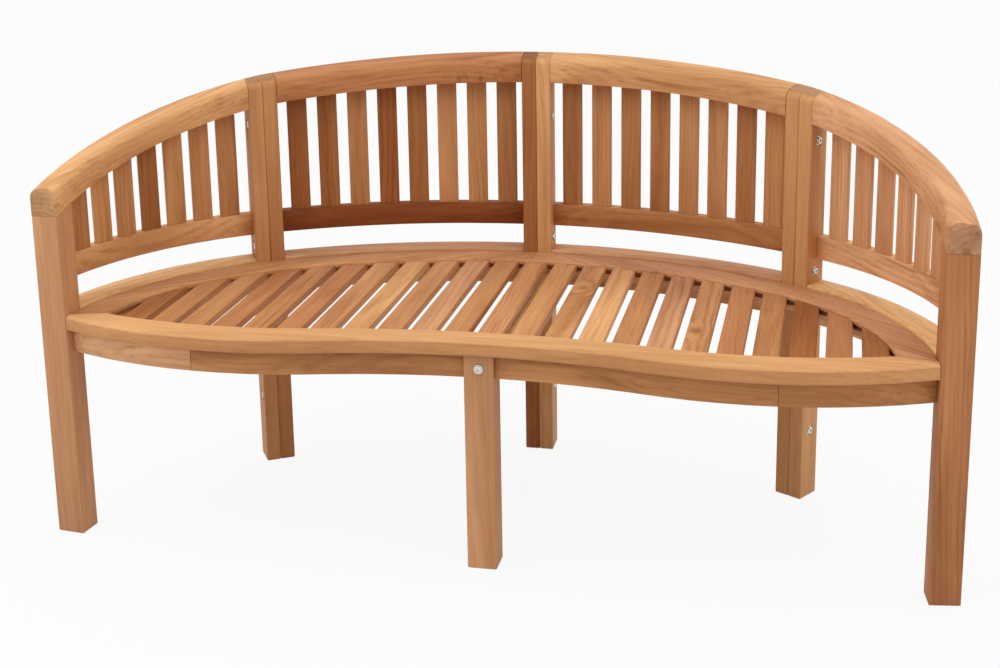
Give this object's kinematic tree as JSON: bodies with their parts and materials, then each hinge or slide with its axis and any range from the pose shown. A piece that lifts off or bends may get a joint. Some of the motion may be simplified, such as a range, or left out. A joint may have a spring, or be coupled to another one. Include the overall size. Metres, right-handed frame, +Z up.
{
  "type": "curved garden bench",
  "caption": "Curved teak garden bench with a slatted back that wraps round into the arms, a wave-fronted slatted seat and straight square legs.",
  "frame": {"origin": "centre of the bounding box in X and Y, at ground level", "axes": "+X to the right along the length seen from the front, -Y to the front, +Z up"},
  "size_m": [1.6066, 0.6516, 0.8163],
  "materials": {
    "teak_posts": "planed pinkish-brown teak, satin",
    "teak_rails": "planed honey-brown teak, satin",
    "teak_back_slats": "planed teak, mixed light and dark boards",
    "teak_seat_slats": "planed teak with streaked grain",
    "teak_front_rail": "planed pale honey teak, satin",
    "steel": "bright stainless steel"
  },
  "bodies": {
    "root": {"front_post_left": "teak_posts", "front_post_right": "teak_posts", "front_leg": "teak_posts", "centre_post_left": "teak_posts", "centre_post_right": "teak_posts", "corner_post_inner_left": "teak_posts", "corner_post_inner_right": "teak_posts", "corner_post_outer_left": "teak_posts", "corner_post_outer_right": "teak_posts", "back_top_rail_left": "teak_rails", "back_top_rail_right": "teak_rails", "arm_top_rail_left": "teak_rails", "arm_top_rail_right": "teak_rails", "back_slat_rail_left": "teak_rails", "back_slat_rail_right": "teak_rails", "arm_slat_rail_left": "teak_rails", "arm_slat_rail_right": "teak_rails", "back_base_rail_left": "teak_rails", "back_base_rail_right": "teak_rails", "arm_base_rail_left": "teak_rails", "arm_base_rail_right": "teak_rails", "back_slats_left": "teak_back_slats", "back_slats_right": "teak_back_slats", "arm_slats_left": "teak_back_slats", "arm_slats_right": "teak_back_slats", "seat_back_rail_left": "teak_rails", "seat_back_rail_right": "teak_rails", "seat_front_rail": "teak_front_rail", "seat_brace": "teak_rails", "apron_inner_left": "teak_rails", "apron_inner_right": "teak_rails", "apron_outer_left": "teak_rails", "apron_outer_right": "teak_rails", "seat_slat_01": "teak_seat_slats", "seat_slat_02": "teak_seat_slats", "seat_slat_03": "teak_seat_slats", "seat_slat_04": "teak_seat_slats", "seat_slat_05": "teak_seat_slats", "seat_slat_06": "teak_seat_slats", "seat_slat_07": "teak_seat_slats", "seat_slat_08": "teak_seat_slats", "seat_slat_09": "teak_seat_slats", "seat_slat_10": "teak_seat_slats", "seat_slat_11": "teak_seat_slats", "seat_slat_12": "teak_seat_slats", "seat_slat_13": "teak_seat_slats", "seat_slat_14": "teak_seat_slats", "seat_slat_15": "teak_seat_slats", "seat_slat_16": "teak_seat_slats", "seat_slat_17": "teak_seat_slats", "seat_slat_18": "teak_seat_slats", "seat_slat_19": "teak_seat_slats", "seat_slat_20": "teak_seat_slats", "seat_slat_21": "teak_seat_slats", "seat_slat_22": "teak_seat_slats", "seat_slat_23": "teak_seat_slats", "corner_bolt_foot_right": "steel", "corner_bolt_middle_right": "steel", "corner_bolt_top_right": "steel", "leg_bolt": "steel"}
  },
  "joints": []
}
